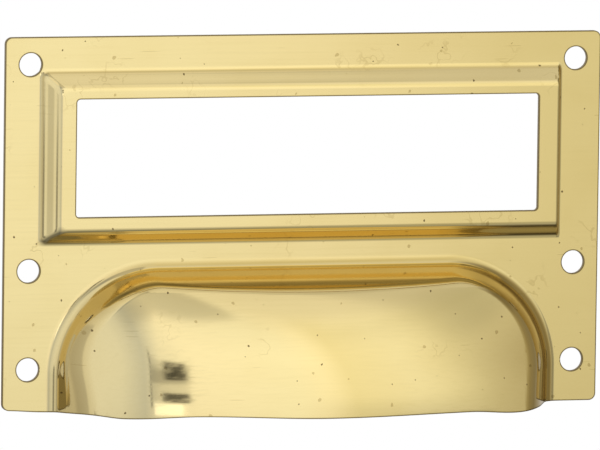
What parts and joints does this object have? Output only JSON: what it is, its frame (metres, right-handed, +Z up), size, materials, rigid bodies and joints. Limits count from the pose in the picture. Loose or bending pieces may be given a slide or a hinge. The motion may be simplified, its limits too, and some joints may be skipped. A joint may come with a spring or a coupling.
{
  "type": "label frame pull",
  "caption": "Pressed brass drawer pull in one piece: a flat plate with screw holes, a raised window frame for a label card and a cupped finger hood below it.",
  "frame": {"origin": "centre of the four corner screw holes, on the plate's back face", "axes": "+Z up on the drawer front, +X to the right seen from the front, +Y into the drawer, so the hood and the frame stand out toward -Y"},
  "size_m": [0.1048, 0.0173, 0.0635],
  "materials": {
    "brass": "bright unlacquered brass with faint brushing across, small pits and light scratches"
  },
  "bodies": {
    "root": {"label_frame_pull": "brass"}
  },
  "joints": []
}
